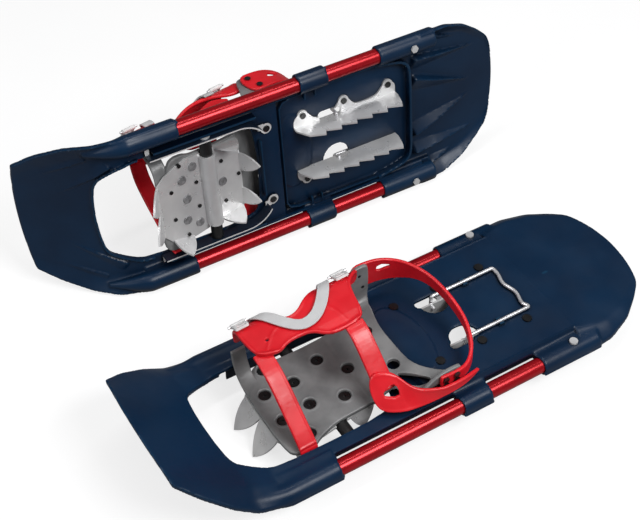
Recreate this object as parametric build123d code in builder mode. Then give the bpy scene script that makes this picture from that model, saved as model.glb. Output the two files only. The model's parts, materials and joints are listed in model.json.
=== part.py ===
from build123d import *
import math
import os

# A pair of snowshoes, in millimetres. Every piece is drawn once, for the left shoe, in the shoe's own
# frame: the binding's pivot axis is the Y axis, +X runs to the toe, +Y to the wearer's left (the outer
# side of the left shoe) and +Z up. The end of the file mirrors each piece for the right shoe and puts
# both shoes into the pair's frame, whose origin is the middle of the left foot platform.

os.makedirs("parts", exist_ok=True)

# Side tubes
tube_radius = 8.0
tube_wall = 1.5
tube_y = 85.0
tube_front = 75.0
tube_rear = -262.0
fixed_gap = 0.05
running_gap = 0.1

# Deck
deck_top = 9.0
deck_thickness = 3.5
deck_bottom = deck_top - deck_thickness
heel_raise = 5.0
heel_top = deck_top + heel_raise
heel_bottom = heel_top - deck_thickness
heel_front = -82.0
panel_half = 75.0
sleeve_radius = 10.5
sleeve_spans = [(28.8, 82.0), (-137.5, -105.5), (-267.0, -199.5)]
opening_half = 61.5
opening_rear = -57.0
opening_front = 117.0
toe_tip = 182.0
tail_screw_x = -239.0

# Toe and tail sections: x, half width, edge height, shoulder y, shoulder height, crown height
toe_sections = [
    (26.0, 94.5, 0.0, 77.0, 8.8, 9.2),
    (58.0, 94.5, 0.0, 77.0, 8.8, 9.4),
    (85.0, 94.5, 1.0, 75.0, 9.5, 11.5),
    (112.0, 93.0, 9.0, 71.0, 19.5, 23.0),
    (135.0, 89.0, 27.0, 66.0, 34.5, 38.5),
    (160.0, 78.0, 48.5, 55.0, 53.0, 56.0),
    (186.0, 60.0, 71.0, 40.0, 74.0, 75.5),
]
tail_sections = [
    (-249.0, 94.5, 0.0, 73.0, 13.8, 14.1),
    (-258.0, 94.5, 0.0, 75.0, 13.8, 14.1),
    (-268.0, 94.5, 0.8, 78.0, 13.5, 14.1),
    (-284.0, 93.0, 2.5, 83.0, 12.4, 14.1),
    (-310.0, 83.5, 6.5, 76.0, 12.4, 14.2),
    (-330.0, 69.0, 10.0, 61.0, 13.0, 14.6),
    (-344.0, 55.5, 12.0, 47.0, 13.8, 15.0),
    (-354.0, 26.0, 13.5, 17.0, 14.9, 15.4),
]

# Pivot
rod_radius = 4.0
bush_radius = 6.25
bush_half = 61.2
rail_y = 62.8
rail_thickness = 1.5
rail_bottom = -8.0
rail_top = 5.0
eyelet = (-69.0, 45.0)

# Binding plate and toe crampon
sheet = 2.0
sheet_top = 4.5
plate_top = 9.5
tread_rise = 0.4
strap_thickness = 3.0
crampon_front = 60.0
crampon_rear = -40.0
screw_points = [
    (45, 17), (45, -17), (15, 15), (15, -15), (-17, 25), (-17, -25), (-36, 0), (32, 43), (32, -43),
]
stud_points = [(17, 35), (17, -35), (31, 25), (31, -25), (28, 0), (-16, 0)]
screw_shank = 2.0
screw_head = 5.6
screw_seat = 5.5
screw_bore = 6.1
stud_head = 5.0
stud_shank = 3.0

# Harness: the arch over the toes, the buckles on its shoulder and the heel strap's rivets
arch_y = -42.2
arch_z = 56.0
arch_radius = 15.0
buckle_places = [43.5, -64.0]
buckle_width = 14.0
pin_radius = 1.2
pin_slope = -6.0
pin_height = 3.4
rivet_shank = 1.6
inner_rivets = [(-90, 48), (-93, 31)]
outer_rivets = [(-97, 27.5), (-109, 27.5), (-97, 20), (-109, 20)]
inner_tab = 65.1
outer_tab = 70.5

# Heel blades and heel lifter
blade_y = 27.0
blade_lug_y = 40.0
blade_lugs = [-114.0, -163.0, -217.0]
blade_tip = -18.0
tooth_count = 6
tooth_rise = 6.5
lifter_pivot = -152.0
lifter_axis_z = 5.0
lifter_rear = -227.0
lifter_y = 30.4
lifter_height = 17.0
lifter_slot = (26.0, 9.0)
lifter_window = 15.5
wire_radius = 1.75

# How the pair stands: each binding's rest pitch, and the right shoe's place against the left
rest_pitch = {"left": 4.0, "right": 9.4}
right_origin = Vector(-17.2, -231.8, 68.1)
right_lean = 6.75
right_yaw = -1.48


def crowned_section(x, half, edge_z, shoulder, shoulder_z, crown_z):
    """One cross-section of the curved toe or tail shell, on the plane at x."""
    inset = deck_thickness * 0.8
    bend_y = shoulder + 0.62 * (half - shoulder)
    bend_z = edge_z + 0.70 * (shoulder_z - edge_z)
    drop = deck_thickness
    with BuildSketch(Plane.YZ.offset(x)) as section:
        with BuildLine():
            ThreePointArc((-shoulder, shoulder_z), (0, crown_z), (shoulder, shoulder_z))
            ThreePointArc((shoulder, shoulder_z), (bend_y, bend_z), (half, edge_z))
            Line((half, edge_z), (half - inset, edge_z - drop))
            ThreePointArc(
                (half - inset, edge_z - drop),
                (bend_y - inset, bend_z - drop),
                (shoulder - inset, shoulder_z - drop),
            )
            ThreePointArc(
                (shoulder - inset, shoulder_z - drop),
                (0, crown_z - drop),
                (inset - shoulder, shoulder_z - drop),
            )
            ThreePointArc(
                (inset - shoulder, shoulder_z - drop),
                (inset - bend_y, bend_z - drop),
                (inset - half, edge_z - drop),
            )
            Line((inset - half, edge_z - drop), (-half, edge_z))
            ThreePointArc((-half, edge_z), (-bend_y, bend_z), (-shoulder, shoulder_z))
        make_face()
    return section.sketch


def tooth(start, end, tip, bulge=0.12):
    """A pointed tooth of sheet metal between two points of an edge and its tip, with bowed flanks."""
    start, end, tip = Vector(start), Vector(end), Vector(tip)
    along = (end - start).normalized()
    normal = along.cross(tip - start).normalized()
    plane = Plane(origin=start, x_dir=along, z_dir=normal)
    tip_x = (tip - start).dot(along)
    tip_y = (tip - start).dot(plane.y_dir)
    width = (end - start).length
    with BuildSketch(plane) as outline:
        with BuildLine():
            ThreePointArc((0, 0), (tip_x / 2 - bulge * tip_y, tip_y / 2), (tip_x, tip_y))
            ThreePointArc(
                (tip_x, tip_y), ((tip_x + width) / 2 + bulge * tip_y, tip_y / 2), (width, 0)
            )
            Line((width, 0), (0, 0))
        make_face()
    return outline.sketch


# ---------------------------------------------------------------- deck and frame

with BuildPart() as deck:
    loft([crowned_section(*values) for values in toe_sections])
    loft([crowned_section(*values) for values in tail_sections])
    with BuildSketch(Plane.XY.offset(deck_bottom)):
        with Locations(((30 + tail_sections[0][0]) / 2 - 3, 0)):
            Rectangle(30 - tail_sections[0][0] + 14, 2 * panel_half)
    extrude(amount=deck_thickness)
    # the rear of the panel is a tray raised over the heel blades
    tray_length = heel_front - tail_screw_x
    tray_middle = (heel_front + tail_screw_x) / 2
    with BuildSketch(Plane.XY.offset(deck_top - 1)):
        with Locations((tray_middle - 8, 0)):
            Rectangle(tray_length + 16, 2 * panel_half - 2)
    extrude(amount=heel_raise + 1, taper=35)
    with BuildSketch(Plane.XY.offset(deck_bottom - 1)):
        with Locations((tray_middle, 0)):
            Rectangle(tray_length - 9, 2 * panel_half - 10)
    extrude(amount=heel_raise + 1, taper=35, mode=Mode.SUBTRACT)
    for rear, front in [(min(span), max(span)) for span in sleeve_spans]:
        with BuildSketch(Plane.YZ.offset(rear)):
            with Locations((tube_y, 0), (-tube_y, 0)):
                Circle(sleeve_radius)
            with Locations((panel_half + 3, 6.5), (-panel_half - 3, 6.5)):
                Rectangle(14, 4)
        extrude(amount=front - rear)
    # stiffening skirts beside the opening and a lip behind it
    with BuildSketch(Plane.XY.offset(-5)):
        with Locations((0, 67.2), (0, -67.2)):
            Rectangle(112, 2.5)
    extrude(amount=5 + deck_bottom + 1)
    with BuildSketch(Plane.XY.offset(-1)):
        with Locations((opening_rear - 3, 0)):
            Rectangle(2.5, 70)
    extrude(amount=1 + deck_bottom + 1)
    # toe opening
    with BuildSketch(Plane.XY.offset(-30)) as opening:
        with BuildLine():
            Polyline(
                (opening_rear, 46),
                (opening_rear + 14, opening_half),
                (74, opening_half - 0.5),
                (90, 56),
                (101, 51),
                (opening_front - 4, 44),
            )
            ThreePointArc(
                (opening_front - 4, 44), (opening_front, 0), (opening_front - 4, -44)
            )
            Polyline(
                (opening_front - 4, -44),
                (101, -51),
                (90, -56),
                (74, 0.5 - opening_half),
                (opening_rear + 14, -opening_half),
                (opening_rear, -46),
                (opening_rear, 46),
            )
        make_face()
        fillet(opening.vertices(), 5)
    extrude(amount=90, mode=Mode.SUBTRACT)
    # rounded toe tip
    with BuildSketch(Plane.XY.offset(40)):
        with BuildLine():
            ThreePointArc((toe_tip - 5, 80), (toe_tip, 0), (toe_tip - 5, -80))
            Polyline((toe_tip - 5, -80), (toe_tip + 20, -80), (toe_tip + 20, 80), (toe_tip - 5, 80))
        make_face()
    extrude(amount=60, mode=Mode.SUBTRACT)
    # tube bores
    with BuildSketch(Plane.YZ.offset(tube_rear - fixed_gap)):
        with Locations((tube_y, 0), (-tube_y, 0)):
            Circle(tube_radius + fixed_gap)
    extrude(amount=tube_front - tube_rear + 2 * fixed_gap, mode=Mode.SUBTRACT)
    # slots for the heel lifter's legs, and half-round windows on their inner side
    with BuildSketch(Plane.XY.offset(-5)):
        with Locations((lifter_pivot + 6, lifter_y), (lifter_pivot + 6, -lifter_y)):
            SlotOverall(*lifter_slot)
        with Locations((lifter_pivot, blade_y), (lifter_pivot, -blade_y)):
            Circle(lifter_window)
        for side in (1, -1):
            with Locations((lifter_pivot, side * (blade_y + 9 + lifter_window))):
                Rectangle(34, 2 * lifter_window + 10, mode=Mode.SUBTRACT)
        with Locations((lifter_pivot + 6, lifter_y), (lifter_pivot + 6, -lifter_y)):
            SlotOverall(*lifter_slot)
    extrude(amount=25, mode=Mode.SUBTRACT)
    # rivet and screw holes
    with Locations(
        [(x, side * blade_lug_y, heel_top) for x in blade_lugs for side in (1, -1)]
        + [(eyelet[0], side * eyelet[1], deck_top) for side in (1, -1)]
    ):
        Hole(screw_shank + fixed_gap, depth=30)
    with Locations([(tail_screw_x, side * tube_y, 15) for side in (1, -1)]):
        Hole(screw_shank + fixed_gap, depth=40)

with BuildPart() as tube:
    with BuildSketch(Plane.YZ.offset(tube_rear)):
        with Locations((tube_y, 0)):
            Circle(tube_radius)
            Circle(tube_radius - tube_wall, mode=Mode.SUBTRACT)
    extrude(amount=tube_front - tube_rear)
    with Locations((tail_screw_x, tube_y, 15)):
        Hole(screw_shank + fixed_gap, depth=40)

with BuildPart() as tail_screws:
    for side in (1, -1):
        with BuildSketch(Plane.XY.offset(-sleeve_radius - 0.6)):
            with Locations((tail_screw_x, side * tube_y)):
                Circle(screw_shank)
        extrude(amount=2 * sleeve_radius + 1.2)
        with BuildSketch(Plane.XY.offset(sleeve_radius + 0.1)):
            with Locations((tail_screw_x, side * tube_y)):
                Circle(4.2)
        extrude(amount=1.8)
        with BuildSketch(Plane.XY.offset(-sleeve_radius - 2.1)):
            with Locations((tail_screw_x, side * tube_y)):
                RegularPolygon(4.2, 6)
        extrude(amount=2.0)

with BuildPart() as side_rail:
    with BuildSketch(Plane.XY.offset(rail_bottom)):
        with BuildLine():
            Line((62, rail_y), (-34, rail_y))
            TangentArc((-34, rail_y), (-62, eyelet[1] + 3), tangent=(-1, 0))
        trace(line_width=rail_thickness)
    extrude(amount=rail_top - rail_bottom)
    with BuildSketch(Plane.XY.offset(rail_top - sheet)):
        with Locations(eyelet):
            Circle(6.0)
        with Locations((eyelet[0] + 6, eyelet[1] + 3)):
            Rectangle(7, 7)
        with Locations((59.7, rail_y + 4)):
            Rectangle(4.6, 8)
        with Locations(eyelet):
            Circle(screw_shank + fixed_gap, mode=Mode.SUBTRACT)
    extrude(amount=sheet)
    with BuildSketch(Plane.XZ.offset(-rail_y - 5)):
        Circle(rod_radius + fixed_gap)
    extrude(amount=10, mode=Mode.SUBTRACT)

with BuildPart() as side_rail_rivets:
    for side in (1, -1):
        with Locations((eyelet[0], side * eyelet[1], (deck_top + rail_top - sheet) / 2)):
            Cylinder(screw_shank, deck_top - rail_top + sheet + 0.4)
        with Locations((eyelet[0], side * eyelet[1], deck_top + 0.7)):
            Cylinder(4.0, 1.2)
        with Locations((eyelet[0], side * eyelet[1], rail_top - sheet - 0.7)):
            Cylinder(3.6, 1.2)

with BuildPart() as pivot_rod:
    head_y = rail_y + rail_thickness / 2 + 0.1
    with BuildSketch(Plane.XZ.offset(-head_y - 1)):
        Circle(rod_radius)
    extrude(amount=2 * head_y + 2)
    for plane_y in (head_y, -head_y - 1.6):
        with BuildSketch(Plane.XZ.offset(plane_y)):
            Circle(5.5)
        extrude(amount=1.6)

with BuildPart() as pivot_bush:
    with BuildSketch(Plane.XZ.offset(-bush_half)):
        Circle(bush_radius)
        Circle(rod_radius + fixed_gap, mode=Mode.SUBTRACT)
    extrude(amount=2 * bush_half)

# ---------------------------------------------------------------- heel blades and lifter

with BuildPart() as heel_blade:
    blade_front = blade_lugs[0] + 11
    blade_rear = blade_lugs[2] - 9
    flange_top = heel_bottom - 0.1
    with BuildSketch(Plane.XY.offset(flange_top - sheet)):
        with BuildLine():
            Line((blade_front, blade_y - 1), (blade_rear, blade_y - 1))
            Line((blade_rear, blade_y - 1), (blade_rear, blade_y + 5))
            Spline(
                (blade_rear, blade_y + 5),
                (blade_lugs[2] - 4, blade_lug_y + 2),
                (blade_lugs[2] + 5, blade_lug_y + 1),
                (blade_lugs[2] + 12, blade_y + 7),
                ((blade_lugs[1] + blade_lugs[2]) / 2, blade_y + 3.5),
                (blade_lugs[1] - 11, blade_y + 7),
                (blade_lugs[1] - 4, blade_lug_y + 2),
                (blade_lugs[1] + 4, blade_lug_y + 2),
                (blade_lugs[1] + 11, blade_y + 7),
                ((blade_lugs[0] + blade_lugs[1]) / 2, blade_y + 3.5),
                (blade_lugs[0] - 12, blade_y + 7),
                (blade_lugs[0] - 4, blade_lug_y + 2),
                (blade_lugs[0] + 4, blade_lug_y + 2),
                (blade_front, blade_y + 5),
            )
            Line((blade_front, blade_y + 5), (blade_front, blade_y - 1))
        make_face()
        with Locations([(x, blade_lug_y) for x in blade_lugs]):
            Circle(6.0)
        with Locations([(x, blade_lug_y) for x in blade_lugs]):
            Circle(screw_shank + fixed_gap, mode=Mode.SUBTRACT)
        with Locations((lifter_pivot + 6, lifter_y)):
            SlotOverall(*lifter_slot, mode=Mode.SUBTRACT)
    extrude(amount=sheet)
    # the toothed wall: each tooth deepens to the rear and drops back steeply
    with BuildSketch(Plane.XZ.offset(-blade_y - sheet / 2)):
        pitch = (blade_front - blade_rear - 12) / tooth_count
        with BuildLine():
            points = [(blade_front, flange_top), (blade_front, 3), (blade_front - 8, blade_tip + tooth_rise)]
            for index in range(tooth_count):
                start = blade_front - 8 - index * pitch
                points.append((start - 0.84 * pitch, blade_tip))
                points.append((start - pitch, blade_tip + tooth_rise))
            points.append((blade_rear, 3))
            points.append((blade_rear, flange_top))
            Polyline(*points, close=True)
        make_face()
        with Locations((lifter_pivot, lifter_axis_z)):
            Circle(wire_radius + running_gap, mode=Mode.SUBTRACT)
    extrude(amount=sheet)

with BuildPart() as heel_blade_rivets:
    rivet_bottom = flange_top - sheet
    for x in blade_lugs:
        for side in (1, -1):
            with Locations((x, side * blade_lug_y, (heel_top + rivet_bottom) / 2)):
                Cylinder(screw_shank, heel_top - rivet_bottom + 0.4)
            with Locations((x, side * blade_lug_y, heel_top + 0.8)):
                Cylinder(4.5, 1.4)
            with Locations((x, side * blade_lug_y, rivet_bottom - 0.7)):
                Cylinder(3.4, 1.2)

with BuildPart() as heel_lifter:
    with BuildLine() as bail:
        # the rear bar waves gently between its corners
        bar = [
            (lifter_rear + 1.7 * (1 - math.cos(math.radians(45 * step))), 4 * step - 24, lifter_height)
            for step in range(13)
        ]
        FilletPolyline(
            (lifter_pivot, -blade_y + 4, lifter_axis_z),
            (lifter_pivot, -lifter_y, lifter_axis_z),
            (lifter_pivot, -lifter_y, lifter_height),
            (lifter_rear, -lifter_y, lifter_height),
            bar[0],
            radius=2.2,
        )
        Spline(*bar)
        FilletPolyline(
            bar[-1],
            (lifter_rear, lifter_y, lifter_height),
            (lifter_pivot, lifter_y, lifter_height),
            (lifter_pivot, lifter_y, lifter_axis_z),
            (lifter_pivot, blade_y - 4, lifter_axis_z),
            radius=2.2,
        )
    with BuildSketch(Plane(origin=bail.line @ 0, z_dir=bail.line % 0)):
        Circle(wire_radius)
    sweep()

with BuildPart() as lifter_clips:
    clip_x = lifter_rear + 36
    rest_top = lifter_height - wire_radius - running_gap
    for side in (1, -1):
        with BuildSketch(Plane.XY.offset(heel_top + 0.1)):
            with Locations((clip_x, side * lifter_y)):
                Rectangle(7, 8.5)
        extrude(amount=rest_top - heel_top - 0.1)
        with BuildSketch(Plane.XY.offset(heel_top + 0.2)):
            with Locations((clip_x, side * lifter_y + 3.2), (clip_x, side * lifter_y - 3.2)):
                Rectangle(5, 2.1)
        extrude(amount=lifter_height - heel_top)

# ---------------------------------------------------------------- toe crampon and binding plate

saddle_rise = 6.0
arm_bottom = sheet_top + saddle_rise + 1

with BuildPart() as toe_crampon:
    with BuildSketch(Plane.XY.offset(sheet_top - sheet)) as sheet_outline:
        with BuildLine():
            Polyline(
                (crampon_rear, -43),
                (24, -47),
                (crampon_front - 10, -38),
                (crampon_front, -30),
                (crampon_front, 32),
                (crampon_front - 8, 42),
                (24, 50),
                (crampon_rear, 43),
                close=True,
            )
        make_face()
        fillet(sheet_outline.vertices().sort_by(Axis.X)[:2], 5)
        Rectangle(2 * (bush_radius + running_gap), 120, mode=Mode.SUBTRACT)
    extrude(amount=sheet)
    # channel round the pivot bush
    with BuildSketch(Plane.XZ.offset(-43)):
        channel = bush_radius + running_gap
        with BuildLine():
            Line((-channel, sheet_top), (-channel, 0))
            ThreePointArc((-channel, 0), (0, -channel), (channel, 0))
            Polyline(
                (channel, 0), (channel, sheet_top), (channel + sheet, sheet_top), (channel + sheet, 0)
            )
            ThreePointArc((channel + sheet, 0), (0, -channel - sheet), (-channel - sheet, 0))
            Polyline((-channel - sheet, 0), (-channel - sheet, sheet_top), (-channel, sheet_top))
        make_face()
    extrude(amount=86)
    # front claws, side teeth and rear teeth: two ends of the root, then the tip
    front_edge, rear_edge = crampon_front, crampon_rear
    teeth = [
        ((front_edge, -29), (front_edge, 0), (81, -18, -20)),
        ((front_edge, 0), (front_edge, 31), (81, 18, -20)),
        ((50, 43), (26, 49), (44, 52, -21)),
        ((-10, 46), (rear_edge + 2, 43), (-24, 47, -20)),
        ((rear_edge + 2, -43), (-10, -45), (-24, -47, -20)),
        ((rear_edge, 40), (rear_edge, 20), (-47, 30, -20)),
        ((rear_edge, -2), (rear_edge, -24), (-49, -14, -21)),
    ]
    for first, last, tip in teeth:
        extrude(tooth((*first, sheet_top), (*last, sheet_top), tip), amount=sheet)
    with Locations([(x, y, sheet_top) for x, y in screw_points]):
        Hole(screw_shank + fixed_gap, depth=5)
    with Locations([(x, y, sheet_top) for x, y in stud_points]):
        Hole(stud_shank + fixed_gap, depth=5)

# side views of the two arms that rise round the boot: the inner one stands tall, the outer one is low
with BuildPart() as arm_views:
    with BuildSketch(Plane.XZ):
        Polygon(
            (-46, 10), (-58, 14), (-72, 36), (-80, 56), (-84, 60), (-97, 60), (-101, 56), (-98, 10),
            align=None,
        )
    extrude(amount=80)
    with BuildSketch(Plane.XZ):
        Polygon((-46, 10), (-62, 12), (-76, 22), (-90, 32), (-114, 32), (-118, 28), (-116, 10), align=None)
    extrude(amount=-80)

with BuildPart() as arms:
    with BuildSketch(Plane.YZ.offset(-120)):
        with BuildLine():
            Line((-64.6, 64), (-64.6, arm_bottom + 18))
            RadiusArc((-64.6, arm_bottom + 18), (-46.6, arm_bottom), -18)
            Line((-46.6, arm_bottom), (58, arm_bottom))
            RadiusArc((58, arm_bottom), (70, arm_bottom + 12), -12)
            Polyline((70, arm_bottom + 12), (70, 38), (66, 38), (66, arm_bottom + 12))
            RadiusArc((66, arm_bottom + 12), (58, arm_bottom + 4), 8)
            Line((58, arm_bottom + 4), (-46.6, arm_bottom + 4))
            RadiusArc((-46.6, arm_bottom + 4), (-60.6, arm_bottom + 18), 14)
            Polyline((-60.6, arm_bottom + 18), (-60.6, 64), (-64.6, 64))
        make_face()
    extrude(amount=76)
    add(arm_views.part, mode=Mode.INTERSECT)
    # hollow rear edge that clears the boot's heel
    with BuildSketch(Plane.XY.offset(8)):
        with BuildLine():
            Spline((-97, -58), (-88, -32), (-83, 0), (-87, 32), (-100, 50), (-117, 62))
            Polyline((-117, 62), (-140, 62), (-140, -58), (-97, -58))
        make_face()
    extrude(amount=50, mode=Mode.SUBTRACT)

with BuildPart() as binding_base:
    with BuildSketch(Plane.XY.offset(sheet_top)) as plate_outline:
        with BuildLine():
            Polyline(
                (60, -34),
                (60, 48),
                (52, 60),
                (34, 60),
                (20, 55),
                (6, 46),
                (-44, 46),
                (-44, -46),
                (6, -48),
                (13, -59),
                (46, -59),
                (57, -50),
                close=True,
            )
        make_face()
        fillet(plate_outline.vertices().group_by(Axis.X)[-1], 6)
    extrude(amount=plate_top - tread_rise - sheet_top)
    with BuildSketch(Plane.XY.offset(sheet_top)):
        with Locations((3, -1)):
            RectangleRounded(82, 86, 6)
    extrude(amount=plate_top - sheet_top)
    # ramp that lifts the rear saddle clear of the deck
    with BuildSketch(Plane.XZ.offset(-46)):
        Polygon(
            (-38, sheet_top),
            (-38, plate_top),
            (-57, plate_top + saddle_rise),
            (-84, plate_top + saddle_rise),
            (-84, arm_bottom),
            (-54, arm_bottom),
            (-44, sheet_top + 0.5),
            align=None,
        )
    extrude(amount=92)
    add(arms.part)
    # wing that curves up to the toe harness on the inner side
    with BuildSketch(Plane.YZ.offset(46)):
        with BuildLine():
            Spline((-30, 4.8), (-44, 9), (-53.5, 24), (-56.9, 40))
            Line((-56.9, 40), (-53.8, 40.6))
            Spline((-53.8, 40.6), (-50.5, 25.5), (-42, 12), (-30, 8.6))
            Line((-30, 8.6), (-30, 4.8))
        make_face()
    extrude(amount=13)
    # groove over the pivot bush, screw seats and stud sockets
    with BuildSketch(Plane.XZ.offset(-70)):
        Circle(bush_radius + running_gap)
    extrude(amount=140, mode=Mode.SUBTRACT)
    with Locations([(x, y, plate_top) for x, y in screw_points]):
        Hole(screw_shank + fixed_gap, depth=8)
    with BuildSketch(Plane.XY.offset(screw_seat)):
        with Locations(screw_points):
            Circle(screw_bore)
    extrude(amount=plate_top - screw_seat + 1, mode=Mode.SUBTRACT)
    with BuildSketch(Plane.XY.offset(sheet_top)):
        with Locations(stud_points):
            Circle(stud_shank + fixed_gap)
    extrude(amount=2.05, mode=Mode.SUBTRACT)
    with Locations((-72, 24, 30), (-72, -24, 30)):
        Hole(screw_bore, depth=30)
    with BuildSketch(Plane.XZ.offset(60)):
        with Locations(inner_rivets):
            Circle(rivet_shank + fixed_gap)
    extrude(amount=10, mode=Mode.SUBTRACT)
    with BuildSketch(Plane.XZ.offset(-60)):
        with Locations(outer_rivets):
            Circle(rivet_shank + fixed_gap)
    extrude(amount=-14, mode=Mode.SUBTRACT)

with BuildPart() as binding_screws:
    for x, y in screw_points:
        with BuildSketch(Plane.XY.offset(sheet_top - sheet - 1.4)):
            with Locations((x, y)):
                Circle(screw_shank)
        extrude(amount=screw_seat - sheet_top + sheet + 1.8)
        with BuildSketch(Plane.XY.offset(screw_seat + 0.05)):
            with Locations((x, y)):
                Circle(screw_head)
                RegularPolygon(1.6, 6, mode=Mode.SUBTRACT)
        extrude(amount=2.2)

with BuildPart() as crampon_studs:
    for x, y in stud_points:
        with BuildSketch(Plane.XY.offset(sheet_top - sheet - 1)):
            with Locations((x, y)):
                Circle(stud_shank)
        extrude(amount=sheet + 3)
        with BuildSketch(Plane.XY.offset(sheet_top - sheet - 0.05)):
            with Locations((x, y)):
                Circle(stud_head)
        extrude(amount=-1.5, taper=20)

# ---------------------------------------------------------------- harness and straps


def arch_band(lift, thickness, rear, front):
    """The harness's arch, seen along the shoe: up the inner wall and over the boot's toes."""
    inner = arch_radius + lift
    outer = inner + thickness
    with BuildPart() as band:
        with BuildSketch(Plane.YZ.offset(rear)):
            with BuildLine():
                Line((arch_y - outer, plate_top + 0.2), (arch_y - outer, arch_z))
                RadiusArc((arch_y - outer, arch_z), (arch_y, arch_z + outer), outer)
                Line((arch_y, arch_z + outer), (-10, arch_z + outer))
                RadiusArc((-10, arch_z + outer), (8, arch_z - 5 + outer), 30)
                Line((8, arch_z - 5 + outer), (8, arch_z - 5 + inner))
                RadiusArc((8, arch_z - 5 + inner), (-10, arch_z + inner), -30)
                Line((-10, arch_z + inner), (arch_y, arch_z + inner))
                RadiusArc((arch_y, arch_z + inner), (arch_y - inner, arch_z), -inner)
                Polyline(
                    (arch_y - inner, arch_z),
                    (arch_y - inner, plate_top + 0.2),
                    (arch_y - outer, plate_top + 0.2),
                )
            make_face()
        extrude(amount=front - rear)
    return band.part


def buckle_plane(x):
    """Tangent plane on the arch's shoulder at x; its normal leans outward, its Y runs up the slope."""
    out = arch_radius + strap_thickness
    tilt = math.radians(60)
    origin = (x, arch_y - out * math.cos(tilt), arch_z + out * math.sin(tilt))
    return Plane(origin=origin, x_dir=(1, 0, 0), z_dir=(0, -math.cos(tilt), math.sin(tilt)))


def pin_plane(x, length):
    """Plane square to a buckle's pin, half the length to the rear of x."""
    plane = buckle_plane(x)
    centre = plane.from_local_coords((-length / 2, pin_slope, pin_height))
    return Plane(origin=centre, x_dir=plane.y_dir, z_dir=plane.x_dir)


with BuildPart() as toe_harness:
    with BuildSketch(Plane.XY.offset(plate_top)):
        with BuildLine():
            Spline((48, -66), (53, -54), (50, -28), (45, -14))
            Line((45, -14), (25, -6))
            Spline((25, -6), (10, -14), (-6, -11), (-20, -2))
            Line((-20, -2), (-32, 2))
            Line((-32, 2), (-56, -2))
            Spline((-56, -2), (-66, -30), (-80, -66))
            Line((-80, -66), (-50, -66))
            Spline((-50, -66), (-40, -56), (-6, -36), (4, -36), (14, -56), (16, -66))
            Line((16, -66), (48, -66))
        make_face()
    extrude(amount=80)
    add(arch_band(0, strap_thickness, -90, 60), mode=Mode.INTERSECT)
    # the inner wall hangs free of the binding plate between its front and rear
    with BuildSketch(Plane.XZ.offset(50)):
        Polygon((60, 8), (60, 40), (40, 46), (18, 54), (-45, 54), (-60, 47), (-90, 47), (-90, 8), align=None)
    extrude(amount=14, mode=Mode.SUBTRACT)
    # ears that hold the buckle pins
    for x in buckle_places:
        for side in (1, -1):
            with BuildSketch(buckle_plane(x).offset(-strap_thickness - 0.4)):
                with Locations((side * (buckle_width / 2 + 1.5), pin_slope)):
                    Rectangle(2.2, 4.4)
            extrude(amount=strap_thickness + 0.4 + pin_height + 2.2)
        with BuildSketch(pin_plane(x, 40)):
            Circle(pin_radius + fixed_gap)
        extrude(amount=40, mode=Mode.SUBTRACT)

with BuildPart() as buckle_pins:
    for x in buckle_places:
        with BuildSketch(pin_plane(x, buckle_width + 6)):
            Circle(pin_radius)
        extrude(amount=buckle_width + 6)

with BuildPart() as front_buckle:
    with BuildSketch(buckle_plane(buckle_places[0]).offset(2.2)):
        with Locations((0, -0.8)):
            RectangleRounded(buckle_width, 14.4, 1.5)
        with Locations((0, 3.4), (0, -1.6)):
            Rectangle(buckle_width - 5, 2.6, mode=Mode.SUBTRACT)
    extrude(amount=2.4)
    with BuildSketch(pin_plane(buckle_places[0], buckle_width)):
        Circle(2.2)
    extrude(amount=buckle_width)
    with BuildSketch(pin_plane(buckle_places[0], buckle_width + 2)):
        Circle(pin_radius + running_gap)
    extrude(amount=buckle_width + 2, mode=Mode.SUBTRACT)

with BuildPart() as inner_strap:
    # diagonal strap on the inner side, from the binding plate up towards the rear lobe
    with BuildSketch(Plane.XZ.offset(-arch_y + arch_radius)):
        Polygon((17, 11), (5, 16), (-60, 41), (-60, 46.5), (-46, 53), (-40, 53), (17, 27), align=None)
    extrude(amount=strap_thickness)

with BuildPart() as front_strap:
    with BuildSketch(Plane.YZ.offset(33)):
        with BuildLine():
            Spline((-13.4, 70.4), (12, 62), (38, 36), (58.6, 13.4))
            Line((58.6, 13.4), (55.8, 11.6))
            Spline((55.8, 11.6), (35.6, 34), (9.6, 60), (-13.4, 67.6))
            Line((-13.4, 67.6), (-13.4, 70.4))
        make_face()
    extrude(amount=18)

with BuildPart() as rear_strap:
    with BuildSketch(Plane.YZ.offset(-56)):
        with BuildLine():
            Spline((8.4, 68.4), (22, 58.4), (38, 42), (52, 26))
            Line((52, 26), (49.6, 24.2))
            Spline((49.6, 24.2), (35.8, 40), (20, 56), (8.4, 65.2))
            Line((8.4, 65.2), (8.4, 68.4))
        make_face()
    extrude(amount=20)

with BuildPart() as outer_strap:
    with BuildSketch(Plane.XY.offset(11.5)):
        with BuildLine():
            Spline((-40, 60), (-58, 71), (-78, 78.5), (-100, 80), (-120, 77.5), (-133, 74))
        trace(line_width=strap_thickness)
    extrude(amount=14)
    with BuildSketch(Plane.XY.offset(12)):
        with BuildLine():
            Line((-36, 55), (-58, 70.5))
        trace(line_width=strap_thickness)
    extrude(amount=20)
    chamfer(outer_strap.edges().filter_by(Axis.Z).sort_by(Axis.X)[:1], 1)

with BuildPart() as strap_heights:
    with BuildSketch(Plane.YZ.offset(-170)):
        with BuildLine():
            Spline((-74, 59), (-51, 52.5), (0, 44.5), (31, 40.5), (50, 35), (76, 28))
            Line((76, 28), (76, 14))
            Spline((76, 14), (50, 21), (31, 26.5), (0, 30.5), (-51, 38.5), (-74, 45))
            Line((-74, 45), (-74, 59))
        make_face()
    extrude(amount=100)

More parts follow.
